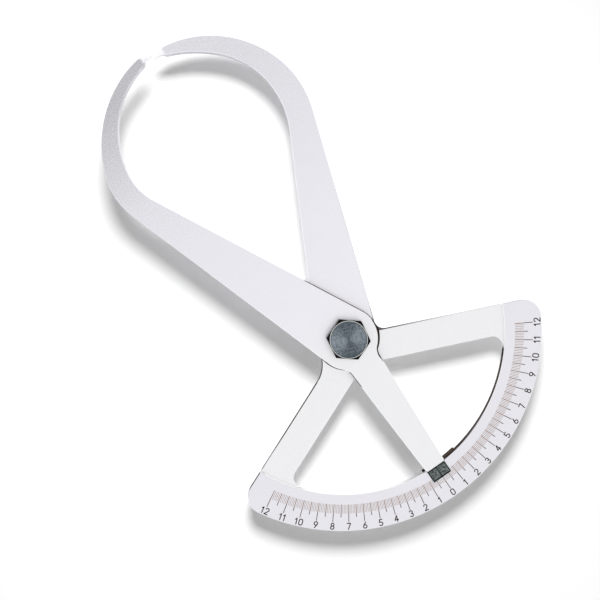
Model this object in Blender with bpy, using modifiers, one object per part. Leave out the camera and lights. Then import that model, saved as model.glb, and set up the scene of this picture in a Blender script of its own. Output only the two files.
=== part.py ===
"""Outside caliper with a centimetre quadrant, at real size: metres, +Z up.

Two flat legs turn on one hexagon-headed pivot bolt. The scale leg carries the right-hand jaw and a
quadrant frame of two spokes and a ring. The pointer leg lies above it and carries the left-hand jaw,
an arm down the quadrant and, at the arm's end, a dark index plate over the ring and a guide shoe
that slides along a turned step inside it. The pivot's axis is the Z axis, the jaws point along +Y,
and z = 0 is the tail end of the bolt, on which the caliper lies.
"""

from collections import namedtuple
from math import acos, asin, atan, atan2, ceil, cos, pi, radians, sin, sqrt, tau

import bmesh
import bpy
from mathutils import Vector

MM = 0.001

# Legs, in plan
REACH = 120.0 * MM                 # pivot to the points of the jaws
HUB_RADIUS = 11.6 * MM             # round end of both legs at the pivot
NOSE = 0.5 * MM                    # width of the blunt point of a jaw
SHOULDER_OUTER = Vector((5.0, 1.05)) * MM    # where the outer bow ends, from the point
SHOULDER_INNER = Vector((4.4, -1.85)) * MM   # where the inner bow ends, from the point
NIB_ROOT = Vector((3.0, -0.5)) * MM          # from here a slim nib runs to the point

# Bows of the jaws: where they start, as a distance from the middle line and a distance short of the
# points, then their first radius, and the bearing from its centre at which a second one takes over.
# A straight edge runs to the start from the hub.
Bow = namedtuple("Bow", "half short radius until")
SCALE_BOW_OUTER = Bow(36.5 * MM, 45.2 * MM, 32.9 * MM, radians(24.5))
SCALE_BOW_INNER = Bow(25.6 * MM, 46.3 * MM, 29.2 * MM, radians(45.3))
POINTER_BOW_OUTER = Bow(38.0 * MM, 40.5 * MM, 23.6 * MM, radians(22.0))
POINTER_BOW_INNER = Bow(28.8 * MM, 40.1 * MM, 18.3 * MM, radians(8.8))

# Points of the jaws: the top face is ground down towards them
GRIND_LENGTH = 4.4 * MM
GRIND_DEPTH = 1.7 * MM

# Quadrant of the scale leg, in plan
RING_INNER = 60.0 * MM
RING_OUTER = RING_INNER + 14.5 * MM
RING_CORNER = 7.0 * MM             # rounding where a spoke's outer edge meets the ring's outer edge
SPOKE_FALL = radians(23.0)         # slope of the spokes below the X axis
SPOKE_RISE = 0.6 * MM              # how far the spoke's outer edge passes above the pivot
SPOKE_WIDTH = 11.5 * MM
WINDOW_CORNER = 4.0 * MM
CROTCH_RADIUS = 4.0 * MM           # fillets where a spoke leaves the leg and the hub
HUB_FILLET = 12.0 * MM

# Arm of the pointer leg, in plan
ARM_ROOT_HALF = 6.9 * MM           # half width where its edges would cross the X axis
ARM_END_HALF = 4.1 * MM
ARM_END = RING_INNER - 0.75 * MM   # pivot to the arm's square end
ARM_FILLET = 5.0 * MM

# Heights
SHEET = 2.5 * MM                   # thickness of both legs
RECESS_DEPTH = 1.0 * MM            # the spokes are turned down this far inside the ring
RECESS_SPAN = radians(86.0)        # the turned step reaches this far either side of the zero line
BOSS_RADIUS = 12.4 * MM            # left at full height round the pivot
GAP = 0.3 * MM                     # between pieces that touch

# Pivot
SHANK_RADIUS = 4.0 * MM
BOLT_FLATS = 14.0 * MM
BOLT_HEAD = 4.5 * MM
BOLT_FACE_RADIUS = 6.85 * MM
BOLT_HEAD_TURN = radians(21.0)     # direction of one of its corners from +X
CHAMFER_SLOPE = radians(30.0)      # turned corners of bolt head and nut
THREAD_CHAMFER = 0.6 * MM
TAIL = 0.5 * MM                    # the bolt's tail stands out of the nut this far
NUT_FLATS = 13.0 * MM
NUT_HEIGHT = 4.0 * MM
NUT_FACE_RADIUS = 6.2 * MM
NUT_TURN = radians(8.0)
SPRING_RADIUS = 8.0 * MM
SPRING_STOCK = 0.9 * MM
SPRING_CONE = 0.35 * MM            # how far the disc spring's inner edge stands proud of its rim
BACK_WASHER_RADIUS = 8.5 * MM
BACK_WASHER_STOCK = 1.0 * MM
FRICTION_WASHER_RADIUS = 10.0 * MM
BETWEEN_STOCK = 0.6 * MM           # sheet of the friction washer and of the index plate
WASHER_EDGE = 0.15 * MM            # broken edges of the washers

# Index plate, guide shoe and their screws
PLATE_HALF = 3.95 * MM
PLATE_END = RING_INNER + 5.1 * MM  # pivot to the plate's outer end, over the millimetre lines
FOOT_START = RING_INNER - 13.5 * MM          # pivot to where plate and shoe begin, under the arm
SHOE_BAR = 1.0 * MM                # radial width of the shoe's curved bar
SHOE_LEFT_SPAN = radians(5.2)      # angle that the bar covers to the left of the zero line
SHOE_RIGHT_SPAN = radians(9.4)     # and to the right of it
SHOE_STEM_HALF = 3.2 * MM
SCREW_PLACES = (RING_INNER - 10.4 * MM, RING_INNER - 5.2 * MM)
SCREW_RADIUS = 0.8 * MM
SCREW_HEAD_RADIUS = 1.5 * MM
SCREW_GRIP = 1.7 * MM              # how far the screws enter the arm
SCREW_SLOT = Vector((0.4, 0.3)) * MM         # width and depth of the driver slot

# Fineness of the round shapes
ARC_SAG = 0.01 * MM                # how far a chord may cut inside its arc
TURN_STEPS = 64

# Levels, from the tail of the bolt upwards
NUT_Z = TAIL
SPRING_Z = NUT_Z + NUT_HEIGHT + GAP
BACK_WASHER_Z = SPRING_Z + SPRING_STOCK + SPRING_CONE + GAP
SCALE_Z = BACK_WASHER_Z + BACK_WASHER_STOCK + GAP
SCALE_TOP = SCALE_Z + SHEET
BETWEEN_Z = SCALE_TOP + GAP        # underside of friction washer and index plate
POINTER_Z = BETWEEN_Z + BETWEEN_STOCK + GAP
POINTER_TOP = POINTER_Z + SHEET
HEAD_Z = POINTER_TOP + GAP
HEAD_TOP = HEAD_Z + BOLT_HEAD
SHOE_Z = SCALE_TOP - RECESS_DEPTH + GAP
BORE_RADIUS = SHANK_RADIUS + GAP   # every hole round the shank


# Scene and collections

def clear_scene():
    for old in list(bpy.data.objects):
        bpy.data.objects.remove(old, do_unlink=True)


def new_collection(name):
    made = bpy.data.collections.new(name)
    bpy.context.scene.collection.children.link(made)
    return made


clear_scene()
PARTS = new_collection("outside_caliper")
CUTTERS = new_collection("cutters")


def metal(name, colour, roughness):
    made = bpy.data.materials.new(name)
    made.use_nodes = True
    shader = made.node_tree.nodes["Principled BSDF"]
    shader.inputs["Base Color"].default_value = (*colour, 1.0)
    shader.inputs["Roughness"].default_value = roughness
    shader.inputs["Metallic"].default_value = 1.0
    return made


SATIN_CHROME = metal("satin_chrome", (0.80, 0.79, 0.83), 0.38)
BLACKENED = metal("blackened_steel", (0.09, 0.105, 0.12), 0.42)
DARK_STEEL = metal("dark_index_steel", (0.11, 0.135, 0.13), 0.5)
BRONZE = metal("bronze", (0.30, 0.22, 0.13), 0.45)
PLAIN_STEEL = metal("plain_steel", (0.55, 0.55, 0.56), 0.4)


# Plan geometry: straight edges, arcs and fillets

def polar(radius, angle):
    return Vector((radius * cos(angle), radius * sin(angle)))


def bearing(point):
    return atan2(point.y, point.x)


def arc(centre, radius, start, end):
    """Points from one angle to the other round a centre, both ends included."""
    step = 2.0 * acos(1.0 - ARC_SAG / radius)
    count = max(2, ceil(abs(end - start) / step))
    return [centre + polar(radius, start + (end - start) * i / count) for i in range(count + 1)]


def circle(centre, radius):
    return arc(centre, radius, 0.0, tau)[:-1]


def mirrored(points):
    """The same run of points across the Y axis, in reverse, so that it keeps its turning sense."""
    return [Vector((-p.x, p.y)) for p in reversed(points)]


class Edge:
    """A straight edge in plan, by the bearing of its outward normal and its distance from the pivot."""

    def __init__(self, facing, distance):
        self.facing = facing
        self.distance = distance
        self.normal = polar(1.0, facing)
        self.along = Vector((self.normal.y, -self.normal.x))

    def beyond(self, offset, radius):
        """The point that far outside the edge and that far from the pivot, along the edge."""
        height = self.distance + offset
        return self.normal * height + self.along * sqrt(radius * radius - height * height)

    def meeting(self, other, offset):
        """The point that far outside this edge and the other."""
        a, b = self.normal, other.normal
        p, q = self.distance + offset, other.distance + offset
        det = a.x * b.y - a.y * b.x
        return Vector(((p * b.y - q * a.y) / det, (q * a.x - p * b.x) / det))


OUTER = -1.0                       # side of the hub that a jaw's outer edge leaves
INNER = 1.0                        # side that its inner edge leaves
PIVOT = Vector((0.0, 0.0))
DOWN = -pi / 2.0                   # bearing of the zero line of the scale
SPOKE_OUTER_EDGE = Edge(pi / 2.0 - SPOKE_FALL, SPOKE_RISE)
SPOKE_INNER_EDGE = Edge(pi / 2.0 - SPOKE_FALL, SPOKE_RISE - SPOKE_WIDTH)


def bow_start(bow):
    return Vector((bow.half, REACH - bow.short))


def edge_lean(side, bow):
    """Lean from +Y of the straight edge that leaves the hub on one side and reaches the bow."""
    start = bow_start(bow)
    return atan2(start.x, start.y) + side * asin(HUB_RADIUS / start.length)


def jaw_edge(side, bow, end):
    """One edge of the right-hand jaw, from the hub: straight, then two arcs that bend left to its end."""
    lean = edge_lean(side, bow)
    left = Vector((-cos(lean), sin(lean)))
    foot = left * (side * HUB_RADIUS)
    first = arc(bow_start(bow) + left * bow.radius, bow.radius, -lean, bow.until)
    inward = polar(-1.0, bow.until)
    across = end - first[-1]
    radius = across.length_squared / (2.0 * inward.dot(across))
    centre = first[-1] + inward * radius
    return [foot] + first + arc(centre, radius, bow.until, bearing(end - centre))[1:]


def jaw(outer_bow, inner_bow):
    """The right-hand jaw: its outer edge from the hub up, its point, and its inner edge down to the hub."""
    point = Vector((0.0, REACH))
    half = Vector((0.0, NOSE / 2.0))
    outer = jaw_edge(OUTER, outer_bow, point + SHOULDER_OUTER)
    inner = jaw_edge(INNER, inner_bow, point + SHOULDER_INNER)
    return outer + [point + half, point - half, point + NIB_ROOT] + inner[::-1]


def scale_leg_outline():
    corner = SPOKE_OUTER_EDGE.beyond(-RING_CORNER, RING_OUTER - RING_CORNER)
    right_corner = arc(corner, RING_CORNER, bearing(corner), SPOKE_OUTER_EDGE.facing)
    rim = arc(PIVOT, RING_OUTER, -pi - bearing(corner), bearing(corner))
    leg_edge = Edge(-edge_lean(OUTER, SCALE_BOW_OUTER), HUB_RADIUS)
    crotch_centre = SPOKE_OUTER_EDGE.meeting(leg_edge, CROTCH_RADIUS)
    crotch = arc(crotch_centre, CROTCH_RADIUS, SPOKE_OUTER_EDGE.facing + pi, pi + leg_edge.facing)
    fillet_centre = SPOKE_OUTER_EDGE.beyond(HUB_FILLET, HUB_RADIUS + HUB_FILLET)
    fillet = arc(fillet_centre, HUB_FILLET, pi + SPOKE_OUTER_EDGE.facing, pi + bearing(fillet_centre))
    hub_start = pi - edge_lean(INNER, SCALE_BOW_INNER)
    hub = arc(PIVOT, HUB_RADIUS, hub_start, pi - bearing(fillet_centre))
    upper = jaw(SCALE_BOW_OUTER, SCALE_BOW_INNER)[1:-1] + hub[:-1]
    return upper + mirrored(fillet) + mirrored(right_corner) + rim[1:-1] + right_corner + crotch


def window_corner():
    """The window's right-hand rounding at the ring, and the bearing where it leaves the ring."""
    centre = SPOKE_INNER_EDGE.beyond(-WINDOW_CORNER, RING_INNER - WINDOW_CORNER)
    return arc(centre, WINDOW_CORNER, bearing(centre), pi / 2.0 - SPOKE_FALL), bearing(centre)


def track(end):
    """The ring's inner edge between the window's corners, from left to right."""
    return arc(PIVOT, RING_INNER, -pi - end, end)


def window_outline():
    corner, end = window_corner()
    drop = (WINDOW_CORNER - SPOKE_INNER_EDGE.distance) / cos(SPOKE_FALL)
    apex = arc(Vector((0.0, -drop)), WINDOW_CORNER, pi / 2.0 - SPOKE_FALL, pi / 2.0 + SPOKE_FALL)
    return track(end) + corner[1:] + apex + mirrored(corner)[:-1]


def recess_outline():
    """What is turned away inside the ring: the same edge as the window's, carried on over the spokes."""
    _, end = window_corner()
    right_end = arc(PIVOT, RING_INNER, end, DOWN + RECESS_SPAN)[1:]
    boss = arc(PIVOT, BOSS_RADIUS, DOWN + RECESS_SPAN, DOWN - RECESS_SPAN)
    return mirrored(right_end) + track(end) + right_end + boss


def pointer_leg_outline():
    lean = atan((ARM_ROOT_HALF - ARM_END_HALF) / ARM_END)
    arm_edge = Edge(-lean, ARM_ROOT_HALF * cos(lean))
    fillet_centre = arm_edge.beyond(ARM_FILLET, HUB_RADIUS + ARM_FILLET)
    fillet = arc(fillet_centre, ARM_FILLET, arm_edge.facing + pi, pi + bearing(fillet_centre))
    right_end = edge_lean(INNER, POINTER_BOW_INNER)
    left_start = pi + edge_lean(OUTER, POINTER_BOW_OUTER)
    right_hub = arc(PIVOT, HUB_RADIUS, bearing(fillet_centre), right_end)[1:]
    left_hub = arc(PIVOT, HUB_RADIUS, left_start, pi - bearing(fillet_centre))[1:-1]
    upper = mirrored(jaw(POINTER_BOW_OUTER, POINTER_BOW_INNER))[1:]
    corner = Vector((ARM_END_HALF, -ARM_END))
    return [corner] + fillet + right_hub + upper + left_hub + mirrored([corner] + fillet)


# Building blocks

def place(obj, collection, material=None):
    collection.objects.link(obj)
    if material:
        obj.data.materials.append(material)
    return obj


def plate(name, outlines, low, high):
    """A flat piece: closed outlines, the first one outside and the others holes, made a mesh."""
    curve = bpy.data.curves.new(name, "CURVE")
    curve.dimensions = "2D"
    curve.fill_mode = "BOTH"
    curve.extrude = (high - low) / 2.0
    for points in outlines:
        spline = curve.splines.new("POLY")
        spline.points.add(len(points) - 1)
        for slot, point in zip(spline.points, points):
            slot.co = (point.x, point.y, 0.0, 1.0)
        spline.use_cyclic_u = True
    drawn = bpy.data.objects.new(name + "_curve", curve)
    bpy.context.scene.collection.objects.link(drawn)
    drawn.location.z = (low + high) / 2.0
    bpy.context.view_layer.update()
    evaluated = drawn.evaluated_get(bpy.context.evaluated_depsgraph_get())
    mesh = bpy.data.meshes.new_from_object(evaluated)
    mesh.name = name
    solid = bmesh.new()
    solid.from_mesh(mesh)
    bmesh.ops.remove_doubles(solid, verts=solid.verts, dist=0.001 * MM)
    solid.to_mesh(mesh)
    solid.free()
    made = bpy.data.objects.new(name, mesh)
    made.matrix_world = drawn.matrix_world
    bpy.data.objects.remove(drawn)
    return made


def turned(name, profile, closed=False):
    """A piece turned round its own Z axis, from a profile that runs down its outer side."""
    mesh = bpy.data.meshes.new(name)
    edges = [(i, i + 1) for i in range(len(profile) - 1)]
    if closed:
        edges.append((len(profile) - 1, 0))
    mesh.from_pydata([(x, 0.0, z) for x, z in profile], edges, [])
    made = bpy.data.objects.new(name, mesh)
    screw = made.modifiers.new("turning", "SCREW")
    screw.axis = "Z"
    screw.steps = TURN_STEPS
    screw.render_steps = TURN_STEPS
    screw.use_merge_vertices = True
    screw.merge_threshold = 0.0001 * MM
    return made


def ring_blank(name, inner, outer, height, edge):
    """A flat ring with all four edges broken, standing on its own z = 0."""
    profile = [
        (outer - edge, height),
        (outer, height - edge),
        (outer, edge),
        (outer - edge, 0.0),
        (inner + edge, 0.0),
        (inner, edge),
        (inner, height - edge),
        (inner + edge, height),
    ]
    return turned(name, profile, closed=True)


def cutter(obj):
    for holder in obj.users_collection:
        holder.objects.unlink(obj)
    place(obj, CUTTERS)
    obj.hide_render = True
    obj.display_type = "WIRE"
    return obj


def cut(obj, tool):
    boolean = obj.modifiers.new(tool.name, "BOOLEAN")
    boolean.operation = "DIFFERENCE"
    boolean.solver = "EXACT"
    boolean.object = tool


def flats_cutter(name, across_flats, low, high, turn):
    """Mills six flats: a ring with a hexagon inside it."""
    corner = across_flats / sqrt(3.0)
    hexagon = [polar(corner, turn + i * tau / 6.0) for i in range(6)]
    return cutter(plate(name, [circle(PIVOT, 2.0 * corner), hexagon], low, high))


def drill(name, radius, low, high, place_at):
    bpy.ops.mesh.primitive_cylinder_add(
        vertices=24, radius=radius, depth=high - low, location=(place_at.x, place_at.y, (low + high) / 2.0)
    )
    made = bpy.context.active_object
    made.name = name
    return cutter(made)


def grinding_wheel(name, side, top):
    """A slanted block over one jaw's point, which takes its top face down towards the point."""
    slope = atan(GRIND_DEPTH / GRIND_LENGTH)
    length = 2.0 * GRIND_LENGTH
    width = 4.0 * GRIND_LENGTH
    depth = 2.0 * GRIND_DEPTH
    bpy.ops.mesh.primitive_cube_add(size=1.0)
    made = bpy.context.active_object
    made.name = name
    made.scale = (length, width, depth)
    made.rotation_euler = (0.0, -side * slope, 0.0)
    heel = Vector((side * GRIND_LENGTH, REACH, top))
    reach_in = Vector((-side * length / 2.0 * cos(slope), 0.0, -length / 2.0 * sin(slope)))
    rise = Vector((-side * depth / 2.0 * sin(slope), 0.0, depth / 2.0 * cos(slope)))
    made.location = heel + reach_in + rise
    return cutter(made)


# The scale side, which stays still

def make_scale_leg():
    leg = plate("scale_leg", [scale_leg_outline(), window_outline(), circle(PIVOT, BORE_RADIUS)],
                SCALE_Z, SCALE_TOP)
    recess = plate("recess_cutter", [recess_outline()], SCALE_TOP - RECESS_DEPTH, SCALE_TOP + SHEET)
    cut(leg, cutter(recess))
    cut(leg, grinding_wheel("scale_point_cutter", 1.0, SCALE_TOP))
    return place(leg, PARTS, SATIN_CHROME)


def make_pivot_bolt():
    corner = BOLT_FLATS / sqrt(3.0) + GAP
    drop = (corner - BOLT_FACE_RADIUS) * sin(CHAMFER_SLOPE) / cos(CHAMFER_SLOPE)
    profile = [
        (0.0, HEAD_TOP),
        (BOLT_FACE_RADIUS, HEAD_TOP),
        (corner, HEAD_TOP - drop),
        (corner, HEAD_Z),
        (SHANK_RADIUS, HEAD_Z),
        (SHANK_RADIUS, THREAD_CHAMFER),
        (SHANK_RADIUS - THREAD_CHAMFER, 0.0),
        (0.0, 0.0),
    ]
    bolt = turned("pivot_bolt", profile)
    cut(bolt, flats_cutter("bolt_flats_cutter", BOLT_FLATS, HEAD_Z - GAP / 2.0, HEAD_TOP + GAP,
                           BOLT_HEAD_TURN))
    return place(bolt, PARTS, BLACKENED)


def make_pivot_nut():
    corner = NUT_FLATS / sqrt(3.0) + GAP
    drop = (corner - NUT_FACE_RADIUS) * sin(CHAMFER_SLOPE) / cos(CHAMFER_SLOPE)
    profile = [
        (NUT_FACE_RADIUS, NUT_HEIGHT),
        (corner, NUT_HEIGHT - drop),
        (corner, drop),
        (NUT_FACE_RADIUS, 0.0),
        (BORE_RADIUS, 0.0),
        (BORE_RADIUS, NUT_HEIGHT),
    ]
    nut = turned("pivot_nut", profile, closed=True)
    nut.location.z = NUT_Z
    cut(nut, flats_cutter("nut_flats_cutter", NUT_FLATS, NUT_Z - GAP / 2.0, NUT_Z + NUT_HEIGHT + GAP / 2.0,
                          NUT_TURN))
    return place(nut, PARTS, BLACKENED)


def make_disc_spring():
    profile = [
        (BORE_RADIUS, SPRING_CONE + SPRING_STOCK),
        (SPRING_RADIUS, SPRING_STOCK),
        (SPRING_RADIUS, 0.0),
        (BORE_RADIUS, SPRING_CONE),
    ]
    spring = turned("disc_spring", profile, closed=True)
    spring.location.z = SPRING_Z
    return place(spring, PARTS, BLACKENED)


def make_washer(name, radius, stock, level, material):
    washer = ring_blank(name, BORE_RADIUS, radius, stock, WASHER_EDGE)
    washer.location.z = level
    return place(washer, PARTS, material)


# The pointer side, which turns on the bolt

def screw_centre(distance):
    return Vector((0.0, -distance))


def make_pointer_leg():
    leg = plate("pointer_leg", [pointer_leg_outline(), circle(PIVOT, BORE_RADIUS)], POINTER_Z, POINTER_TOP)
    cut(leg, grinding_wheel("pointer_point_cutter", -1.0, POINTER_TOP))
    for distance in SCREW_PLACES:
        depth = SCREW_GRIP + GAP
        name = f"arm_hole_cutter_{distance / MM:.0f}"
        low, high = POINTER_Z - SHEET, POINTER_Z + depth
        cut(leg, drill(name, SCREW_RADIUS + GAP, low, high, screw_centre(distance)))
    return place(leg, PARTS, SATIN_CHROME)


def make_index_plate():
    outline = [
        Vector((PLATE_HALF, -PLATE_END)),
        Vector((PLATE_HALF, -FOOT_START)),
        Vector((-PLATE_HALF, -FOOT_START)),
        Vector((-PLATE_HALF, -PLATE_END)),
    ]
    holes = [circle(screw_centre(d), SCREW_RADIUS + GAP) for d in SCREW_PLACES]
    made = plate("index_plate", [outline] + holes, BETWEEN_Z, BETWEEN_Z + BETWEEN_STOCK)
    return place(made, PARTS, DARK_STEEL)


def make_guide_shoe():
    outer = RING_INNER - GAP
    inner = outer - SHOE_BAR
    stem = asin(SHOE_STEM_HALF / inner)
    right = arc(PIVOT, inner, DOWN + SHOE_RIGHT_SPAN, DOWN + stem)
    left = arc(PIVOT, inner, DOWN - stem, DOWN - SHOE_LEFT_SPAN)
    heel = Vector((SHOE_STEM_HALF, -FOOT_START))
    bar = arc(PIVOT, outer, DOWN - SHOE_LEFT_SPAN, DOWN + SHOE_RIGHT_SPAN)
    outline = bar + right + [heel, Vector((-heel.x, heel.y))] + left
    shoe = plate("guide_shoe", [outline], SHOE_Z, SCALE_TOP)
    clearance = GAP * sqrt(2.0)
    wide = SCREW_HEAD_RADIUS + clearance
    narrow = wide - (SCALE_TOP - SHOE_Z)
    for distance in SCREW_PLACES:
        profile = [
            (0.0, SCALE_TOP + GAP),
            (narrow, SCALE_TOP + GAP),
            (narrow, SCALE_TOP),
            (wide, SHOE_Z),
            (wide, SHOE_Z - GAP),
            (0.0, SHOE_Z - GAP),
        ]
        countersink = turned(f"countersink_cutter_{distance / MM:.0f}", profile)
        countersink.location = screw_centre(distance).to_3d()
        cut(shoe, cutter(countersink))
    return place(shoe, PARTS, BRONZE)


def make_guide_screw(name, distance):
    head = SCREW_HEAD_RADIUS - SCREW_RADIUS
    length = POINTER_Z + SCREW_GRIP - SHOE_Z
    profile = [
        (0.0, length),
        (SCREW_RADIUS, length),
        (SCREW_RADIUS, head),
        (SCREW_HEAD_RADIUS, 0.0),
        (0.0, 0.0),
    ]
    screw = turned(name, profile)
    screw.location = (0.0, -distance, SHOE_Z)
    bpy.ops.mesh.primitive_cube_add(size=1.0, location=(0.0, -distance, SHOE_Z))
    slot = bpy.context.active_object
    slot.name = name + "_slot_cutter"
    slot.scale = (3.0 * SCREW_HEAD_RADIUS, SCREW_SLOT.x, 2.0 * SCREW_SLOT.y)
    cut(screw, cutter(slot))
    return place(screw, PARTS, PLAIN_STEEL)


make_scale_leg()
make_pivot_bolt()
make_pivot_nut()
make_disc_spring()
make_washer("back_washer", BACK_WASHER_RADIUS, BACK_WASHER_STOCK, BACK_WASHER_Z, PLAIN_STEEL)
make_washer("friction_washer", FRICTION_WASHER_RADIUS, BETWEEN_STOCK, BETWEEN_Z, BRONZE)

pointer_side = bpy.data.objects.new("pointer_side", None)
PARTS.objects.link(pointer_side)
moving = [
    make_pointer_leg(),
    make_index_plate(),
    make_guide_shoe(),
    make_guide_screw("guide_screw_inner", SCREW_PLACES[0]),
    make_guide_screw("guide_screw_outer", SCREW_PLACES[1]),
]
for piece in moving:
    piece.parent = pointer_side
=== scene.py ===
from math import asin, atan2, cos, floor, pi, radians, sin, sqrt, tau

import bmesh
import bpy
from mathutils import Matrix, Vector


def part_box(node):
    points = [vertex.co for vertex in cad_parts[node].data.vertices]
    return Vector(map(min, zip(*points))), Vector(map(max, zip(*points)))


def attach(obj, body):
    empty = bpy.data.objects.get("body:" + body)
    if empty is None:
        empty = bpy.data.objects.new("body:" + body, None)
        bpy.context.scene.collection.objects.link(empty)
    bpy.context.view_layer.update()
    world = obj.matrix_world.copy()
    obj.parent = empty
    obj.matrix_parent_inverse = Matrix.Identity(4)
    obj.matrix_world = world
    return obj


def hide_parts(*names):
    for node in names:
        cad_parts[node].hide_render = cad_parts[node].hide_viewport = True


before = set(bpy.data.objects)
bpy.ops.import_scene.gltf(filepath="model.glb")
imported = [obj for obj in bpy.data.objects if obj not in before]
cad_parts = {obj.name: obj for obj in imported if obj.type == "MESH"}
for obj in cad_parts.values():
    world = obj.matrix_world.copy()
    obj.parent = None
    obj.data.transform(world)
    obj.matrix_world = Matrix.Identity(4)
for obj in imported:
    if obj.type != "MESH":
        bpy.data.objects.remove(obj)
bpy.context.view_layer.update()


# The view: the camera stands a quarter of a metre over the caliper, a little past the pivot, and is turned
# so that the jaws point up and to the left. The shift is the photograph's crop.
MM = 0.001
camera_data = bpy.data.cameras.new("camera")
camera_data.sensor_width = 36.0
camera_data.lens = 40.0
camera_data.shift_x = -0.063
camera_data.shift_y = 0.100
camera = bpy.data.objects.new("camera", camera_data)
camera.location = Vector((-6.52, 27.17, 257.3)) * MM
camera.rotation_euler = (radians(-6.189), radians(-4.022), radians(-34.60))
bpy.context.scene.collection.objects.link(camera)
bpy.context.scene.camera = camera
UP_THE_PICTURE = Vector((0.5736, 0.8192, 0.0))


# The studio: a white table top in even daylight, with a round softbox beyond the top of the picture, as
# high as the camera, that throws the caliper's shadow towards the bottom. Camera and metal see white around.
class Field:
    """What comes out of a node of a material or of a Geometry Nodes tree, for arithmetic on surfaces: adding
    or multiplying it makes the Math node for that, and node() makes any other one."""

    def __init__(self, tree, socket=None):
        self.tree = tree
        self.socket = socket

    def node(self, kind, settings, sockets, output=0):
        """A new node: its settings are set first, then its sockets, each to a value or linked to a field."""
        made = self.tree.nodes.new(kind)
        for name, value in settings.items():
            setattr(made, name, value)
        for name, value in sockets.items():
            if isinstance(value, Field):
                self.tree.links.new(value.socket, made.inputs[name])
            else:
                made.inputs[name].default_value = value
        return Field(self.tree, made.outputs[output])

    def beside(self, output):
        """Another output of the node that this field comes from."""
        return Field(self.tree, self.socket.node.outputs[output])

    def math(self, operation, *others):
        numbers = dict(enumerate((self, *others)))
        return self.node("ShaderNodeMath", {"operation": operation}, numbers)

    def __add__(self, other):
        return self.math("ADD", other)

    def __sub__(self, other):
        return self.math("SUBTRACT", other)

    def __mul__(self, other):
        return self.math("MULTIPLY", other)

    def __truediv__(self, other):
        return self.math("DIVIDE", other)

    def __rsub__(self, other):
        return self.node("ShaderNodeMath", {"operation": "SUBTRACT"}, {0: other, 1: self})

    __radd__ = __add__
    __rmul__ = __mul__

    def ramp(self, low, high):
        """0 at low, 1 at high, and an even run between them; low may be the larger one."""
        wanted = {"From Min": low, "From Max": high, "Value": self}
        return self.node("ShaderNodeMapRange", {"clamp": True}, wanted)

    def ramp_mm(self, low, high):
        """A ramp for a length in metres, with its ends in millimetres."""
        return self.ramp(low * MM, high * MM)

    def dot(self, vector):
        wanted = {0: self, 1: vector}
        return self.node("ShaderNodeVectorMath", {"operation": "DOT_PRODUCT"}, wanted, "Value")

    def scaled(self, field):
        """A colour or vector made stronger or weaker by a number field."""
        return self.node("ShaderNodeVectorMath", {"operation": "SCALE"}, {0: self, "Scale": field})

    def tint(self, colour, other):
        """Between two colours: the first where the field is 0, the other where it is 1."""
        first, second = [(*c, 1.0) if isinstance(c, tuple) else c for c in (colour, other)]
        return self.node("ShaderNodeMix", {"data_type": "RGBA"}, {0: self, 6: first, 7: second}, 2)


def seen_directly(tree):
    """1 for what is looked at by the camera, in a reflection or through glass; 0 for light that falls."""
    camera_ray = Field(tree).node("ShaderNodeLightPath", {}, {}, "Is Camera Ray")
    reflected = camera_ray.beside("Is Glossy Ray")
    refracted = camera_ray.beside("Is Transmission Ray")
    return camera_ray.math("MAXIMUM", reflected).math("MAXIMUM", refracted)


scene = bpy.context.scene
scene.view_settings.view_transform = "Standard"
world = bpy.data.worlds.new("daylight")
scene.world = world
world.use_nodes = True
daylight = world.node_tree.nodes["Background"]
falling = 0.19
seen = seen_directly(world.node_tree)
world.node_tree.links.new((falling + (1.0 - falling) * seen).socket, daylight.inputs["Strength"])
daylight.inputs["Color"].default_value = (1.0, 1.0, 1.0, 1.0)

softbox_light = bpy.data.lights.new("softbox", "AREA")
softbox_light.shape = "DISK"
softbox_light.size = 0.14
softbox_light.energy = 12.6
softbox_light.use_nodes = True
softbox_output = softbox_light.node_tree.nodes["Emission"]
evenly = Field(softbox_light.node_tree).node("ShaderNodeLightFalloff", {}, {"Strength": 1.0}, "Constant")
softbox_light.node_tree.links.new(evenly.socket, softbox_output.inputs["Strength"])
softbox = bpy.data.objects.new("softbox", softbox_light)
softbox_offset = 205.0 * MM
softbox.location = camera.location + UP_THE_PICTURE * softbox_offset
tilt = radians(68.0)
away_from_table = UP_THE_PICTURE * sin(tilt) + Vector((0.0, 0.0, cos(tilt)))
softbox.rotation_euler = away_from_table.to_track_quat("Z", "Y").to_euler()
softbox.visible_glossy = False
scene.collection.objects.link(softbox)

table_mesh = bpy.data.meshes.new("table")
table_half = 1.5
corners = [(-1.0, -1.0), (1.0, -1.0), (1.0, 1.0), (-1.0, 1.0)]
table_mesh.from_pydata([(x * table_half, y * table_half, 0.0) for x, y in corners], [], [(0, 1, 2, 3)])
table = bpy.data.objects.new("table", table_mesh)
scene.collection.objects.link(table)
table_paint = bpy.data.materials.new("table_white")
table_paint.use_nodes = True
table_shader = table_paint.node_tree.nodes["Principled BSDF"]
table_shader.inputs["Base Color"].default_value = (0.90, 0.90, 0.90, 1.0)
table_shader.inputs["Roughness"].default_value = 1.0
table_shader.inputs["Specular IOR Level"].default_value = 0.0
table_shader.inputs["Emission Strength"].default_value = 1.0
whiter = seen_directly(table_paint.node_tree).tint((0.0, 0.0, 0.0), (0.20, 0.20, 0.20))
table_paint.node_tree.links.new(whiter.socket, table_shader.inputs["Emission Color"])
table_mesh.materials.append(table_paint)


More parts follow.
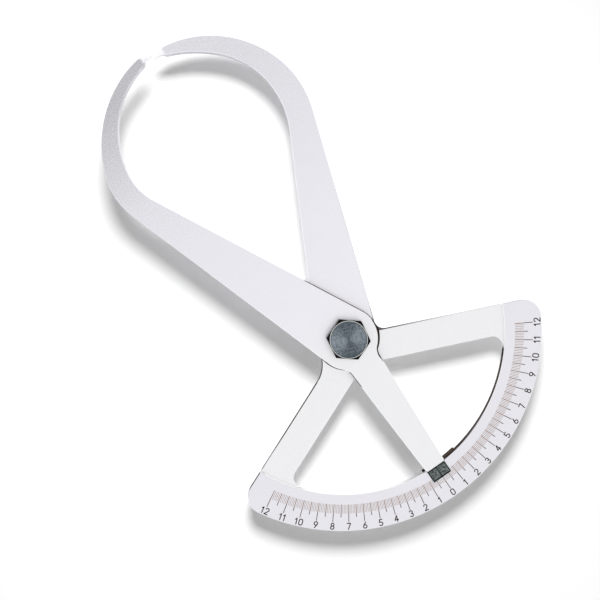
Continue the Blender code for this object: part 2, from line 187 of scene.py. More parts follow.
# Scale leg: one jaw, its leg, the hub, both spokes and the ring, blanked from one 2.5 mm steel sheet and
# satin chromed. The quadrant inside the ring is turned down by a millimetre, which leaves fine circular
# marks. Shade is painted dark on its outer edges, round the pivot boss and on the right half of the ring's
# inner wall, and its colour is painted darker along the leg, with painted light on the point and the step.
def room_beside(edge):
    """How much of the two faces can be taken off along an edge without meeting the next one."""
    along = (edge.verts[1].co - edge.verts[0].co).normalized()
    room = 1.0
    nearly_along = 0.8
    share = 0.4
    for corner in edge.verts:
        for other in corner.link_edges:
            across = other.verts[1].co - other.verts[0].co
            if other != edge and abs(across.normalized().dot(along)) < nearly_along:
                room = min(room, share * across.length)
    return room


def finished_copy(node, broken_edge):
    """The CAD solid of a node with merged corners and its outward edges rounded by broken_edge."""
    solid = bmesh.new()
    solid.from_mesh(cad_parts[node].data)
    bmesh.ops.remove_doubles(solid, verts=solid.verts, dist=0.06 * MM)
    bmesh.ops.dissolve_limit(solid, angle_limit=radians(0.5), verts=solid.verts, edges=solid.edges)
    weight = solid.edges.layers.float.new("bevel_weight_edge")
    for edge in solid.edges:
        if edge.calc_face_angle_signed(0.0) > radians(40.0) and room_beside(edge) > broken_edge:
            edge[weight] = 1.0
    mesh = bpy.data.meshes.new(node + "_finished")
    solid.to_mesh(mesh)
    solid.free()
    made = bpy.data.objects.new(node + "_finished", mesh)
    scene.collection.objects.link(made)
    bevel = made.modifiers.new("broken_edges", "BEVEL")
    bevel.width = broken_edge
    bevel.segments = 2
    bevel.limit_method = "WEIGHT"
    bevel.use_clamp_overlap = False
    evaluated = made.evaluated_get(bpy.context.evaluated_depsgraph_get())
    made.data = bpy.data.meshes.new_from_object(evaluated)
    made.modifiers.clear()
    made.data.shade_smooth()
    made.data.set_sharp_from_angle(angle=radians(15.0))
    made.data.materials.clear()
    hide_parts(node)
    return made


class Finish:
    """A metal or paint: its material, with the fields that every finish starts from."""

    def __init__(self, name, metallic, roughness):
        self.material = bpy.data.materials.new(name)
        self.material.use_nodes = True
        self.tree = self.material.node_tree
        self.surface = self.tree.nodes["Principled BSDF"]
        self.surface.inputs["Metallic"].default_value = metallic
        self.surface.inputs["Roughness"].default_value = roughness
        start = Field(self.tree)
        self.place = start.node("ShaderNodeTexCoord", {}, {}, "Object")
        self.x = self.along((1.0, 0.0, 0.0))
        self.y = self.along((0.0, 1.0, 0.0))
        self.z = self.along((0.0, 0.0, 1.0))
        self.radius = (self.x * self.x + self.y * self.y).math("SQRT")
        facing = start.node("ShaderNodeNewGeometry", {}, {}, "True Normal")
        self.flatness = facing.dot((0.0, 0.0, 1.0)).math("ABSOLUTE")

    def along(self, direction):
        return self.place.dot(direction)

    def distance_from(self, x, y):
        """How far a place is, in plan, from a point given in metres."""
        across = self.x - x
        up = self.y - y
        return (across * across + up * up).math("SQRT")

    def mottle(self, size, detail=2.0):
        """Random patches of about one size, from 0 to 1."""
        wanted = {"Vector": self.place, "Scale": 1.0 / size, "Detail": detail}
        return self.place.node("ShaderNodeTexNoise", {"normalize": True}, wanted, "Fac")

    def put(self, socket, field):
        self.tree.links.new(field.socket, self.surface.inputs[socket])

    def relief(self, height):
        """Bump from a height in metres."""
        self.put("Normal", height.node("ShaderNodeBump", {}, {"Height": height, "Distance": 1.0}))


def satin_chrome(name, level, lilac, edge_dark, coarse, shade_on_flat):
    """Satin chrome on sheet steel. level is how bright it is over the piece, painted shade and highlights
    included, lilac where it has that cast, edge_dark how much painted shade darkens the edges, coarse how
    coarse its grain is, and the last one where painted shade reaches on to the flat side."""
    finish = Finish(name, metallic=1.0, roughness=0.34)
    grain = finish.mottle(0.42 * MM, detail=3.0)
    cloud = finish.mottle(7.0 * MM)
    rough_grain = coarse(finish)
    speckle = 1.0 + (grain - 0.5) * (0.16 + 0.95 * rough_grain) + (cloud - 0.5) * 0.03
    neutral_cast = (1.0, 1.0, 1.018)
    lilac_cast = (1.0, 0.987, 1.045)
    colour = lilac(finish).tint(neutral_cast, lilac_cast).scaled(level(finish) * speckle)
    off_the_flat = finish.flatness.ramp(0.97, 0.94)
    # Painted shade: edges and flat places given by the two masks turn dark brown.
    dark = off_the_flat * edge_dark(finish)
    dark = dark.math("MAXIMUM", shade_on_flat(finish))
    painted_shade_dark = (0.028, 0.014, 0.010)
    # Painted light: bevels and walls are made brighter than the flat faces.
    colour = dark.tint(colour.scaled(1.0 + 0.14 * off_the_flat), painted_shade_dark)
    finish.put("Base Color", colour)
    finish.put("Roughness", 0.30 + 0.10 * grain + 0.2 * dark)
    pits = finish.mottle(0.16 * MM) * (1.0e-6 + 2.5e-6 * rough_grain)
    return finish, pits


chrome_level = 0.866
points_meet = 120.5 * MM


def near_point(finish):
    """Where a highlight is painted: 1 on the ground last few millimetres of a jaw, by the distance
    from where the points meet.
    """
    return finish.distance_from(0.0, points_meet).ramp_mm(4.4, 3.4)


ring_inner = 60.0 * MM
boss_radius = 12.4 * MM
spoke_slope = 0.4245
spoke_rise = 0.65 * MM


def past_spoke(finish):
    """How far a place lies above the spokes' outer edges, which fall from the pivot to both sides."""
    return finish.y + spoke_slope * finish.x.math("ABSOLUTE") - spoke_rise


def on_right(finish):
    return finish.x.ramp_mm(-1.0, 1.0)


def on_left(finish):
    return finish.x.ramp_mm(-1.0, -3.0)


def scale_level(finish):
    """Painted shade darker along the leg, the ring a touch darker, painted highlights on the point and the
    step wall.
    """
    leg = chrome_level - 0.045 * finish.y.ramp_mm(-5.0, 50.0) - 0.09 * finish.y.ramp_mm(50.0, 105.0)
    from_edge = finish.radius - ring_inner
    below_pivot = finish.y.ramp_mm(0.0, -2.0)
    on_ring = from_edge.ramp_mm(-0.4, 0.2) * below_pivot
    # Painted light: the wall of the turned step is made brighter.
    step_wall = from_edge.ramp_mm(-0.5, -0.3) * from_edge.ramp_mm(0.5, 0.3)
    step_wall = step_wall * finish.flatness.ramp(0.97, 0.94) * below_pivot
    return leg - 0.062 * on_ring + 0.17 * near_point(finish) + 0.14 * step_wall


def scale_lilac(finish):
    """The turned recess is neutral grey, all the rest has a lilac cast."""
    return finish.z.ramp_mm(9.3, 9.9).math("MAXIMUM", finish.y.ramp_mm(2.0, 12.0))


def scale_edge_dark(finish):
    """Painted shade on the spokes' outer edges, less along the leg, and on the ring's inner wall at the
    right.
    """
    from_edge = finish.radius - ring_inner
    spoke = past_spoke(finish).ramp_mm(-2.25, -1.85) * finish.radius.ramp_mm(71.5, 67.0)
    fading = 0.95 - 0.65 * on_right(finish) * finish.radius.ramp_mm(18.0, 40.0)
    at_step = from_edge.ramp_mm(-0.7, -0.4) * from_edge.ramp_mm(0.7, 0.4)
    left_boss = on_left(finish) * (finish.radius - boss_radius).ramp_mm(0.35, 0.2)
    spoke = spoke * finish.y.ramp_mm(6.0, 4.0) * fading * (1.0 - 0.7 * at_step) * (1.0 - left_boss)
    across_leg = (0.9227, -0.3856, 0.0)
    outer_leg = finish.along(across_leg).ramp_mm(0.0, 1.0) * finish.y.ramp_mm(4.0, 6.0)
    outer_leg = outer_leg * finish.y.ramp_mm(58.0, 40.0) * 0.35
    ring_wall = from_edge.ramp_mm(-0.7, -0.4) * from_edge.ramp_mm(0.6, 0.4)
    ring_wall = ring_wall * (finish.y + 0.775 * finish.x).ramp_mm(0.0, -1.5) * on_right(finish)
    ring_wall = ring_wall * finish.flatness.ramp(0.90, 0.60)
    return spoke.math("MAXIMUM", outer_leg).math("MAXIMUM", ring_wall)


def scale_skin(finish):
    """Painted shade on the boss round the pivot, the spokes' outer rims and the right of the ring's inner
    rim.
    """
    outside_boss = finish.radius - boss_radius + 0.2 * MM * on_left(finish)
    boss = outside_boss.ramp_mm(0.05, -0.05) * finish.y.ramp_mm(1.5, -1.0)
    from_edge = finish.radius - ring_inner
    ring_rim = from_edge.ramp_mm(-0.6, -0.4) * from_edge.ramp_mm(0.32, 0.18)
    ring_rim = ring_rim * on_right(finish) * finish.x.ramp_mm(30.0, 12.0) * finish.y.ramp_mm(-20.0, -25.0)
    at_full_height = finish.z.ramp_mm(9.8, 10.0) * boss.math("MAXIMUM", ring_rim)

    right_part = finish.x.ramp_mm(9.0, 10.0) * finish.x.ramp_mm(40.0, 12.0)
    left_part = finish.x.ramp_mm(-50.0, -40.0) * finish.x.ramp_mm(-18.0, -19.0)
    spoke_rim = past_spoke(finish).ramp_mm(-0.47, -0.33) * finish.y.ramp_mm(1.0, 0.0)
    spoke_rim = spoke_rim * finish.z.ramp_mm(9.8, 9.6) * from_edge.ramp_mm(-0.5, -0.8)
    spoke_rim = spoke_rim * (left_part + right_part)
    fillet_radius = 12.0 * MM
    into_fillet = finish.distance_from(-23.29 * MM, 3.80 * MM) - fillet_radius
    fillet_rim = into_fillet.ramp_mm(0.42, 0.28) * finish.x.ramp_mm(-18.0, -17.0)
    fillet_rim = fillet_rim * finish.y.ramp_mm(1.0, 0.0) * finish.x.ramp_mm(0.0, -3.0)
    return at_full_height.math("MAXIMUM", 0.85 * spoke_rim.math("MAXIMUM", fillet_rim))


def scale_coarse(finish):
    """The grain gets a little coarser towards the jaw."""
    return 0.35 * finish.y.ramp_mm(70.0, 110.0)


scale_leg = finished_copy("scale_leg", broken_edge=0.20 * MM)
scale_chrome, pits = satin_chrome(
    "scale_leg_chrome", scale_level, scale_lilac, scale_edge_dark, scale_coarse, scale_skin
)
turned = scale_chrome.z.ramp_mm(9.9, 9.4) * scale_chrome.z.ramp_mm(8.9, 9.1)
lathe_pitch = 0.32 * MM
lathe_height = 0.4e-6
lathe_marks = (scale_chrome.radius * (tau / lathe_pitch)).math("SINE") * lathe_height * turned
scale_chrome.relief(pits * (1.0 - 0.7 * turned) + lathe_marks)
scale_leg.data.materials.append(scale_chrome.material)
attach(scale_leg, "scale_side")


# Scale: a line for each millimetre of jaw opening, longer at the halves and longest at the centimetres, at
# the angles where the points of 120 mm legs stand that far apart. The lines are engraved and filled brown.
reach = 120.0 * MM
scale_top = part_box("scale_leg")[1].z
last_centimetre = 12
fine_end = 67.5 * MM
cut_depth = 0.05 * MM
proud = 0.003 * MM
cut_low = scale_top - cut_depth
cut_high = scale_top + proud

ink = Finish("engraving_fill", metallic=0.0, roughness=0.6)
ink_patch = ink.mottle(0.5 * MM)
fine_ink = ink_patch.tint((0.19, 0.090, 0.040), (0.30, 0.170, 0.095))
bold_ink = ink_patch.tint((0.030, 0.018, 0.014), (0.060, 0.042, 0.036))
ink.surface.inputs["Specular IOR Level"].default_value = 0.0
ink.put("Base Color", ink.radius.ramp(fine_end, fine_end + 0.1 * MM).tint(fine_ink, bold_ink))

ruler = bpy.data.node_groups.new("scale_lines", "GeometryNodeTree")
sizes = {
    "Reach": reach,
    "Inner End": 64.0 * MM,
    "Millimetre End": fine_end,
    "Half End": 69.0 * MM,
    "Centimetre End": 71.0 * MM,
    "Fine Width": 0.135 * MM,
    "Bold Width": 0.27 * MM,
    "Depth": cut_high - cut_low,
    "Level": (cut_high + cut_low) / 2.0,
}
ruler.interface.new_socket("Lines Each Side", in_out="INPUT", socket_type="NodeSocketInt")
for label in sizes:
    ruler.interface.new_socket(label, in_out="INPUT", socket_type="NodeSocketFloat")
ruler.interface.new_socket("Lines", in_out="OUTPUT", socket_type="NodeSocketGeometry")
start = Field(ruler)
given = ruler.nodes.new("NodeGroupInput")
value = {slot.name: Field(ruler, slot) for slot in given.outputs if slot.name}
each_side = value["Lines Each Side"]
opening = start.node("GeometryNodeInputIndex", {}, {}) - each_side
angle = (opening * MM / (value["Reach"] * 2.0)).math("ARCSINE") * 2.0
past_ten = opening.math("ABSOLUTE").math("FLOORED_MODULO", 10.0)
centimetre = past_ten.math("LESS_THAN", 0.5)
half = past_ten.math("COMPARE", 5.0, 0.5)
far_end = value["Millimetre End"]
far_end = far_end + half * (value["Half End"] - far_end)
far_end = far_end + centimetre * (value["Centimetre End"] - value["Millimetre End"])
width = value["Fine Width"] + (half + centimetre) * (value["Bold Width"] - value["Fine Width"])
middle = (far_end + value["Inner End"]) / 2.0
spot_x = angle.math("SINE") * middle
spot_y = angle.math("COSINE") * middle * -1.0
spot = start.node("ShaderNodeCombineXYZ", {}, {0: spot_x, 1: spot_y, 2: value["Level"]})
turn = start.node("ShaderNodeCombineXYZ", {}, {2: angle})
length = far_end - value["Inner End"]
stretch = start.node("ShaderNodeCombineXYZ", {}, {0: width, 1: length, 2: value["Depth"]})
points = start.node("GeometryNodePoints", {}, {"Count": each_side * 2.0 + 1.0, "Position": spot})
groove = start.node("GeometryNodeMeshCube", {}, {"Size": (1.0, 1.0, 1.0)})
laying = {"Points": points, "Instance": groove, "Rotation": turn, "Scale": stretch}
laid = start.node("GeometryNodeInstanceOnPoints", {}, laying)
real = start.node("GeometryNodeRealizeInstances", {}, {"Geometry": laid})
filled = start.node("GeometryNodeSetMaterial", {}, {"Geometry": real, "Material": ink.material})
ruler_out = ruler.nodes.new("NodeGroupOutput")
ruler.links.new(filled.socket, ruler_out.inputs[0])

scale_lines = bpy.data.objects.new("scale_lines", bpy.data.meshes.new("scale_lines"))
scene.collection.objects.link(scale_lines)
engraving = scale_lines.modifiers.new("engraving", "NODES")
engraving.node_group = ruler
wanted = {"Lines Each Side": 10 * last_centimetre, **sizes}
for item in ruler.interface.items_tree:
    if item.in_out == "INPUT":
        engraving[item.identifier] = wanted[item.name]
evaluated = scale_lines.evaluated_get(bpy.context.evaluated_depsgraph_get())
scale_lines.data = bpy.data.meshes.new_from_object(evaluated)
scale_lines.modifiers.clear()
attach(scale_lines, "scale_side")


# Numbers: the centimetres, 12 to 0 to 12, cut by an engraving machine with a round cutter in plain narrow
# digits, outside their lines and with their tops towards the pivot. They are filled like the lines.
number_radius = 72.62 * MM
digit_gap = 0.60
stroke_half = 0.20


def bend(across, up, radius, start, end):
    """Points of an arc in a digit, in millimetres and degrees."""
    steps = max(4, round(abs(end - start) / 15))
    angles = [radians(start + (end - start) * i / steps) for i in range(steps + 1)]
    return [Vector((across + radius * cos(a), up + radius * sin(a))) for a in angles]


def line(*corners):
    return [Vector(corner) for corner in corners]


top = 1.19
side = 0.66
nought = bend(0.0, 0.53, side, 0.0, 180.0) + bend(0.0, -0.53, side, 180.0, 360.0)
foot = line((-side, -top), (side, -top))
crossbar = line((-0.68, -0.45), (0.72, -0.45))
belly = bend(-0.04, -0.50, 0.69, 125.0, -145.0)
six = [bend(0.0, -0.53, side, 0.0, 360.0), line((0.30, top), (-0.56, -0.18))]
STROKES = {
    "0": [nought + nought[:1]],
    "1": [line((-0.50, 0.66), (0.0, top)), line((0.0, top), (0.0, -top))],
    "2": [bend(0.0, 0.55, 0.64, 165.0, -35.0), line((0.53, 0.19), (-side, -top)), foot],
    "3": [bend(0.0, 0.62, 0.57, 150.0, -90.0), bend(0.0, -0.57, 0.62, 90.0, -150.0)],
    "4": [line((0.30, -top), (0.30, top)), line((0.30, top), (-0.68, -0.45)), crossbar],
    "5": [line((0.56, top), (-0.42, top)), line((-0.42, top), (-0.50, 0.08)), belly],
    "6": six,
    "7": [line((-side, top), (side, top)), line((side, top), (-0.20, -top))],
    "8": [bend(0.0, 0.64, 0.55, 0.0, 360.0), bend(0.0, -0.55, 0.64, 0.0, 360.0)],
    "9": [[point * -1.0 for point in stroke] for stroke in six],
}
LEFT_EXTENT = {}
RIGHT_EXTENT = {}
for digit, strokes in STROKES.items():
    LEFT_EXTENT[digit] = min(point.x for stroke in strokes for point in stroke) - stroke_half
    RIGHT_EXTENT[digit] = max(point.x for stroke in strokes for point in stroke) + stroke_half


def cut_stroke(mesh, points, shift, place):
    """One stroke of a digit: a strip along its points with round ends, as deep as the cut."""
    rim = []
    for run in (points, points[::-1]):
        for i, point in enumerate(run):
            along = (run[min(i + 1, len(run) - 1)] - run[max(i - 1, 0)]).normalized()
            rim.append(point + Vector((-along.y, along.x)) * stroke_half)
        facing = atan2(along.y, along.x)
        for turned_by in (54, 18, -18, -54):
            a = facing + radians(turned_by)
            rim.append(point + Vector((cos(a), sin(a))) * stroke_half)
    placed = [Vector(((p.x + shift) * MM, p.y * MM, 0.0)) for p in rim]
    upper = [mesh.verts.new(place @ (p + Vector((0.0, 0.0, cut_high)))) for p in placed]
    lower = [mesh.verts.new(place @ (p + Vector((0.0, 0.0, cut_low)))) for p in placed]
    mesh.faces.new(upper[::-1])
    mesh.faces.new(lower)
    for i in range(len(rim)):
        mesh.faces.new((upper[i - 1], upper[i], lower[i], lower[i - 1]))


row = bmesh.new()
for number in range(-last_centimetre, last_centimetre + 1):
    lean = 2.0 * asin(number * 10.0 * MM / (2.0 * reach))
    place = Matrix.Rotation(lean, 4, "Z") @ Matrix.Translation((0.0, -number_radius, 0.0))
    digits = str(abs(number))
    total = sum(RIGHT_EXTENT[d] - LEFT_EXTENT[d] for d in digits) + digit_gap * (len(digits) - 1)
    pen = -total / 2.0
    for digit in digits:
        for stroke in STROKES[digit]:
            cut_stroke(row, stroke, pen - LEFT_EXTENT[digit], place)
        pen += RIGHT_EXTENT[digit] - LEFT_EXTENT[digit] + digit_gap
bmesh.ops.recalc_face_normals(row, faces=row.faces)
numbers_mesh = bpy.data.meshes.new("scale_numbers")
row.to_mesh(numbers_mesh)
row.free()
numbers_mesh.materials.append(ink.material)
scale_numbers = bpy.data.objects.new("scale_numbers", numbers_mesh)
scene.collection.objects.link(scale_numbers)
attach(scale_numbers, "scale_side")


# Pointer leg: the other jaw, its leg, the hub and the arm that carries the index, blanked from the same
# sheet. It lies over the scale leg, and the shade there is painted as a fine dark line round the hub and
# down the arm. Its colour is painted darker towards the jaw, with painted light on the ground point.
def pointer_level(finish):
    """Painted shade darker towards the jaw, and a painted highlight where the point is ground."""
    leg = chrome_level - 0.058 * finish.y.ramp_mm(-5.0, 60.0) - 0.05 * finish.y.ramp_mm(60.0, 82.0)
    return leg - 0.225 * finish.y.ramp_mm(80.0, 114.0) + 0.38 * near_point(finish)


def pointer_lilac(finish):
    """The arm is neutral grey, the leg and the jaw have a lilac cast."""
    return finish.y.ramp_mm(-4.0, 12.0)


def pointer_edge_dark(finish):
    """Painted shade where the leg lies over the other one: inner edge near the hub, the hub, the arm's root
    and end.
    """
    across_leg = (0.9223, 0.3865, 0.0)
    inner_side = finish.along(across_leg).ramp_mm(-0.5, 0.5) * finish.y.ramp_mm(-0.4, 0.0)
    inner_edge = inner_side * finish.radius.ramp_mm(27.0, 26.0)
    root_end = 18.7 * MM - 3.2 * MM * on_right(finish)
    root = finish.y.ramp_mm(0.2, -0.3) * (root_end - finish.radius).ramp_mm(-0.4, 0.4)
    root = root * (1.0 - on_left(finish) * finish.radius.ramp_mm(12.6, 12.2))
    end = finish.y.ramp_mm(-58.4, -58.7) * 0.8
    return inner_edge.math("MAXIMUM", root).math("MAXIMUM", end)


def pointer_coarse(finish):
    """The grain gets coarse towards the jaw."""
    return finish.y.ramp_mm(55.0, 112.0)


def pointer_skin(finish):
    """Painted shade: a dark rim on the hub and the fillet below it, at the side where the other leg's spoke
    comes out.
    """
    hub_rim = finish.radius.ramp_mm(11.05, 11.20) * finish.radius.ramp_mm(12.6, 12.4)
    towards_spoke = (0.934, -0.358, 0.0)
    hub_rim = hub_rim * finish.along(towards_spoke).ramp_mm(9.9, 10.6)
    fillet_radius = 5.0 * MM
    into_fillet = finish.distance_from(11.33 * MM, -12.15 * MM) - fillet_radius
    return hub_rim.math("MAXIMUM", into_fillet.ramp_mm(0.55, 0.40))


pointer_leg = finished_copy("pointer_leg", broken_edge=0.26 * MM)
pointer_chrome, pits = satin_chrome(
    "pointer_leg_chrome", pointer_level, pointer_lilac, pointer_edge_dark, pointer_coarse, pointer_skin
)
pointer_chrome.relief(pits)
pointer_leg.data.materials.append(pointer_chrome.material)
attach(pointer_leg, "pointer_side")


# Index plate: a small blackened steel plate held under the arm's end, with shade painted dark round its rims
# and a hairline that points at the scale. The hairline is engraved and filled black.
plate_steel = Finish("index_plate_steel", metallic=1.0, roughness=0.5)
plate_patch = plate_steel.mottle(0.75 * MM, detail=3.0)
plate_dark = (0.044, 0.062, 0.060)
plate_pale = (0.225, 0.250, 0.240)
plate_rim_black = (0.006, 0.008, 0.008)
plate_tone = plate_patch.ramp(0.37, 0.63).tint(plate_dark, plate_pale)
# Painted shade: the rims, the bevels and the edge under the arm's end are darkened to black.
plate_rim = plate_steel.x.math("ABSOLUTE").ramp_mm(3.48, 3.60)
plate_rim = plate_rim.math("MAXIMUM", plate_steel.y.ramp_mm(-64.42, -64.55))
plate_rim = plate_rim.math("MAXIMUM", plate_steel.y.ramp_mm(-60.62, -60.48))
plate_rim = plate_rim.math("MAXIMUM", plate_steel.flatness.ramp(0.97, 0.94))
plate_steel.put("Base Color", plate_rim.tint(plate_tone, plate_rim_black))
plate_steel.put("Roughness", 0.42 + 0.2 * plate_patch)
plate_steel.relief(plate_patch * 4.0e-6)
index_plate = finished_copy("index_plate", broken_edge=0.12 * MM)
index_plate.data.materials.append(plate_steel.material)
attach(index_plate, "pointer_side")

plate_low, plate_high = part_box("index_plate")
arm_end = -59.25 * MM
hairline_ink = Finish("hairline_fill", metallic=0.0, roughness=0.6)
hairline_tone = hairline_ink.mottle(0.4 * MM).tint((0.004, 0.004, 0.005), (0.012, 0.012, 0.013))
hairline_ink.put("Base Color", hairline_tone)
hairline_ink.surface.inputs["Specular IOR Level"].default_value = 0.0
hairline_half = 0.19 * MM
hairline_start = arm_end + 1.0 * MM
hairline_end = plate_low.y + 0.10 * MM
hair = bmesh.new()
hair_rows = []
for y in (hairline_start, hairline_end):
    for x, z in ((-1.0, proud), (1.0, proud), (1.0, -cut_depth), (-1.0, -cut_depth)):
        hair_rows.append(hair.verts.new((x * hairline_half, y, plate_high.z + z)))
for i in range(4):
    j = (i + 1) % 4
    hair.faces.new((hair_rows[i], hair_rows[j], hair_rows[j + 4], hair_rows[i + 4]))
hair.faces.new(hair_rows[:4])
hair.faces.new(hair_rows[7:3:-1])
bmesh.ops.recalc_face_normals(hair, faces=hair.faces)
hair_mesh = bpy.data.meshes.new("index_hairline")
hair.to_mesh(hair_mesh)
hair.free()
hair_mesh.materials.append(hairline_ink.material)
index_hairline = bpy.data.objects.new("index_hairline", hair_mesh)
scene.collection.objects.link(index_hairline)
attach(index_hairline, "pointer_side")


# Guide shoe: a bronze strip, bent to the ring's inner edge, that keeps the arm's end on its track. Two
# small countersunk steel screws hold it and the index plate to the arm from below.
bronze = Finish("guide_bronze", metallic=0.8, roughness=0.48)
bronze_patch = bronze.mottle(0.8 * MM, detail=3.0)
bronze_tone = bronze_patch.tint((0.070, 0.045, 0.032), (0.140, 0.098, 0.070))
bronze_shade = (0.012, 0.008, 0.007)
# Painted shade: the strip is darkened along its edges, on its bevels and under and left of the arm.
bronze_dark = bronze.radius.ramp_mm(59.30, 59.45)
bronze_dark = bronze_dark.math("MAXIMUM", bronze.radius.ramp_mm(58.95, 58.85))
bronze_dark = bronze_dark.math("MAXIMUM", bronze.x.ramp_mm(4.9, 4.3))
bronze_dark = bronze_dark.math("MAXIMUM", bronze.flatness.ramp(0.97, 0.90))
bronze.put("Base Color", bronze_dark.tint(bronze_tone, bronze_shade))
bronze.put("Roughness", 0.40 + 0.2 * bronze_patch)
guide_shoe = finished_copy("guide_shoe", broken_edge=0.08 * MM)
guide_shoe.data.materials.append(bronze.material)
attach(guide_shoe, "pointer_side")

guide_steel = Finish("guide_screw_steel", metallic=1.0, roughness=0.35)
screw_tone = guide_steel.mottle(0.3 * MM).tint((0.45, 0.45, 0.46), (0.62, 0.62, 0.63))
guide_steel.put("Base Color", screw_tone)
for node in ("guide_screw_inner", "guide_screw_outer"):
    screw = finished_copy(node, broken_edge=0.03 * MM)
    screw.data.materials.append(guide_steel.material)
    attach(screw, "pointer_side")


# Pivot bolt: a hexagon head, turned flat on top with fine rings, its chamfer and flats blackened. Two bright
# fans of reflection, a bright rim and a brightening to one side are painted on the face. The shank is
# threaded at the nut's end.
bolt_low, bolt_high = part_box("pivot_bolt")
head_height = 4.5 * MM
under_head = bolt_high.z - head_height
face_radius = 6.85 * MM
face_round = 0.14 * MM
across_flats = 14.0 * MM
corner_radius = across_flats / sqrt(3.0)
head_turn = radians(21.0)
chamfer_slope = radians(30.0)
face_pitch = 0.24 * MM
face_cut = 0.006 * MM
rings = floor((face_radius - face_round) / face_pitch)
head_profile = [(0.0, bolt_high.z)]
for step in range(1, 2 * rings):
    dip = face_cut if step % 2 else 0.0
    head_profile.append((step * face_pitch / 2.0, bolt_high.z - dip))
blank_radius = corner_radius * 1.05
blank_drop = face_round + (blank_radius - face_radius) * sin(chamfer_slope) / cos(chamfer_slope)
head_profile += [
    (face_radius - face_round, bolt_high.z),
    (face_radius - 0.3 * face_round, bolt_high.z - 0.3 * face_round),
    (face_radius, bolt_high.z - face_round),
    (blank_radius, bolt_high.z - blank_drop),
    (blank_radius, under_head),
    (0.0, under_head),
]
head_steps = 128
blank = bmesh.new()
circles = []
for x, z in head_profile:
    if x == 0.0:
        circles.append([blank.verts.new((0.0, 0.0, z))] * head_steps)
        continue
    turns = [tau * i / head_steps for i in range(head_steps)]
    circles.append([blank.verts.new((x * cos(a), x * sin(a), z)) for a in turns])
for upper, lower in zip(circles, circles[1:]):
    for i in range(head_steps):
        j = (i + 1) % head_steps
        blank.faces.new(list(dict.fromkeys((upper[i], lower[i], lower[j], upper[j]))))
head_mesh = bpy.data.meshes.new("pivot_bolt_finished")
blank.to_mesh(head_mesh)
blank.free()
bolt = bpy.data.objects.new("pivot_bolt_finished", head_mesh)
scene.collection.objects.link(bolt)

bar = bmesh.new()
bar_length = 20.0 * MM
bar_start = under_head - 0.1 * MM
bmesh.ops.create_cone(
    bar, cap_ends=True, segments=6, radius1=corner_radius, radius2=corner_radius, depth=bar_length
)
bar.transform(
    Matrix.Translation((0.0, 0.0, bar_start + bar_length / 2.0))
    @ Matrix.Rotation(head_turn - pi / 2.0, 4, "Z")
)
bar_mesh = bpy.data.meshes.new("hexagon_bar")
bar.to_mesh(bar_mesh)
bar.free()
hexagon_bar = bpy.data.objects.new("hexagon_bar", bar_mesh)
scene.collection.objects.link(hexagon_bar)
milling = bolt.modifiers.new("flats", "BOOLEAN")
milling.operation = "INTERSECT"
milling.solver = "EXACT"
milling.object = hexagon_bar
evaluated = bolt.evaluated_get(bpy.context.evaluated_depsgraph_get())
bolt.data = bpy.data.meshes.new_from_object(evaluated)
bolt.modifiers.clear()
bpy.data.objects.remove(hexagon_bar)

shank_radius = 4.0 * MM
thread_pitch = 1.25 * MM
thread_depth = 0.5 * MM
thread_steepness = 1.15
thread_end = 5.5 * MM
run_out = 0.5 * MM
tail_chamfer = 0.6 * MM
shank_steps = 72
level_step = 0.1 * MM
levels = [bolt_low.z + i * level_step for i in range(round(thread_end / level_step) + 1)]
levels.append(under_head + 0.2 * MM)
shank = bmesh.new()
circles = []
for z in levels:
    circle = []
    for i in range(shank_steps):
        phase = (z / thread_pitch - i / shank_steps) % 1.0
        groove = thread_depth * max(0.0, 1.0 - abs(2.0 * phase - 1.0) * thread_steepness)
        if z > thread_end - run_out:
            groove = 0.0
        here = min(shank_radius - groove, shank_radius - tail_chamfer + (z - bolt_low.z))
        a = tau * i / shank_steps
        circle.append(shank.verts.new((here * cos(a), here * sin(a), z)))
    circles.append(circle)
for lower, upper in zip(circles, circles[1:]):
    for i in range(shank_steps):
        j = (i + 1) % shank_steps
        shank.faces.new((lower[i], lower[j], upper[j], upper[i]))
shank.faces.new(circles[0][::-1])
shank.faces.new(circles[-1])
shank.from_mesh(bolt.data)
shank.to_mesh(bolt.data)
shank.free()
bolt.data.shade_smooth()
bolt.data.set_sharp_from_angle(angle=radians(25.0))

bolt_steel = Finish("pivot_bolt_steel", metallic=1.0, roughness=0.3)
# Painted reflection: two bright fans across the face, along this direction.
fan_direction = (-0.941, 0.339, 0.0)
bright_side = bolt_steel.along(fan_direction)
centre_area = 0.05e-6
fan = bright_side * bright_side / (bolt_steel.radius * bolt_steel.radius + centre_area)
ring_width = 0.42 * MM
ring_noise = {"W": bolt_steel.radius * (1.0 / ring_width), "Detail": 3.0}
rings_tone = bolt_steel.radius.node("ShaderNodeTexNoise", {"noise_dimensions": "1D"}, ring_noise, "Fac")
scratch_width = 0.38 * MM
scratches_in_fan = 9.0
scratch_grid = {0: bolt_steel.radius * (1.0 / scratch_width), 1: fan * scratches_in_fan}
scratch_at = bolt_steel.place.node("ShaderNodeCombineXYZ", {}, scratch_grid)
scratch_noise = {"Vector": scratch_at, "Scale": 1.0, "Detail": 2.0}
scratches = scratch_at.node("ShaderNodeTexNoise", {}, scratch_noise, "Fac")
blotch = bolt_steel.mottle(1.6 * MM, detail=3.0)
# The rings, scratches and blotches are the face's own marks; the fan adds painted sheen.
shine = fan.ramp(0.15, 0.95) * 0.48 + (rings_tone - 0.5) * 1.60
shine = shine + (scratches - 0.5) * 1.80 + (blotch - 0.5) * 0.60
marks_and_sheen_dark = (0.062, 0.080, 0.092)
marks_and_sheen_bright = (0.330, 0.375, 0.420)
inner_rim_dark = (0.05, 0.06, 0.065)
rim_highlight = (0.86, 0.87, 0.84)
chamfer_black = (0.010, 0.010, 0.011)
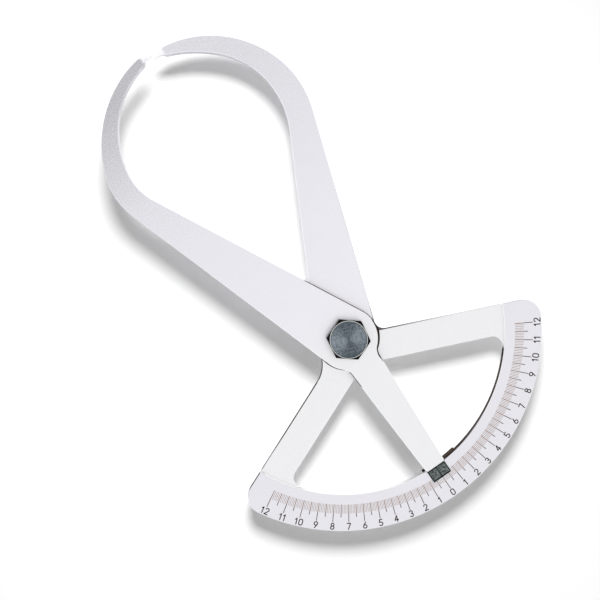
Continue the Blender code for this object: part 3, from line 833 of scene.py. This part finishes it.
face_tone = shine.ramp(-0.15, 0.95).tint(marks_and_sheen_dark, marks_and_sheen_bright)
# Painted light: the face is brighter towards +y.
face_tone = face_tone.scaled(1.0 + 10.0 * bolt_steel.y)
inner_rim = bolt_steel.radius.ramp_mm(6.25, 6.40)
face_tone = (inner_rim * 0.5).tint(face_tone, inner_rim_dark)
# Painted highlight: a bright line round the face's rounded rim.
rim = bolt_steel.radius.ramp_mm(6.66, 6.72)
face_tone = rim.tint(face_tone, rim_highlight)
on_face = bolt_steel.z.ramp(bolt_high.z - 0.16 * MM, bolt_high.z - 0.13 * MM)
bolt_steel.put("Base Color", on_face.tint(chamfer_black, face_tone))
bolt_steel.put("Roughness", 0.26 + 0.14 * rings_tone)
bolt.data.materials.clear()
bolt.data.materials.append(bolt_steel.material)
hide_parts("pivot_bolt")
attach(bolt, "scale_side")


# Under the scale leg: a flat washer, a disc spring that keeps the joint tight, and a thin nut. Between the
# legs lies a bronze washer.
black_steel = Finish("nut_steel", metallic=1.0, roughness=0.4)
black_tone = black_steel.mottle(0.8 * MM, detail=3.0).tint((0.035, 0.037, 0.04), (0.075, 0.08, 0.085))
black_steel.put("Base Color", black_tone)
washer_steel = Finish("washer_steel", metallic=1.0, roughness=0.35)
washer_tone = washer_steel.mottle(0.5 * MM, detail=3.0).tint((0.42, 0.42, 0.43), (0.60, 0.60, 0.61))
washer_steel.put("Base Color", washer_tone)
washer_bronze = Finish("washer_bronze", metallic=1.0, roughness=0.4)
bronze_washer_tone = washer_bronze.mottle(0.7 * MM, detail=3.0).tint((0.30, 0.20, 0.09), (0.48, 0.34, 0.17))
washer_bronze.put("Base Color", bronze_washer_tone)
under_pieces = {
    "pivot_nut": (black_steel, 0.10 * MM, "blackened_steel"),
    "disc_spring": (black_steel, 0.10 * MM, "blackened_steel"),
    "back_washer": (washer_steel, 0.05 * MM, "plain_steel"),
    "friction_washer": (washer_bronze, 0.05 * MM, "bronze"),
}
for node, (metal, broken_edge, slot) in under_pieces.items():
    piece = finished_copy(node, broken_edge)
    piece.data.materials.append(metal.material)
    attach(piece, "scale_side")
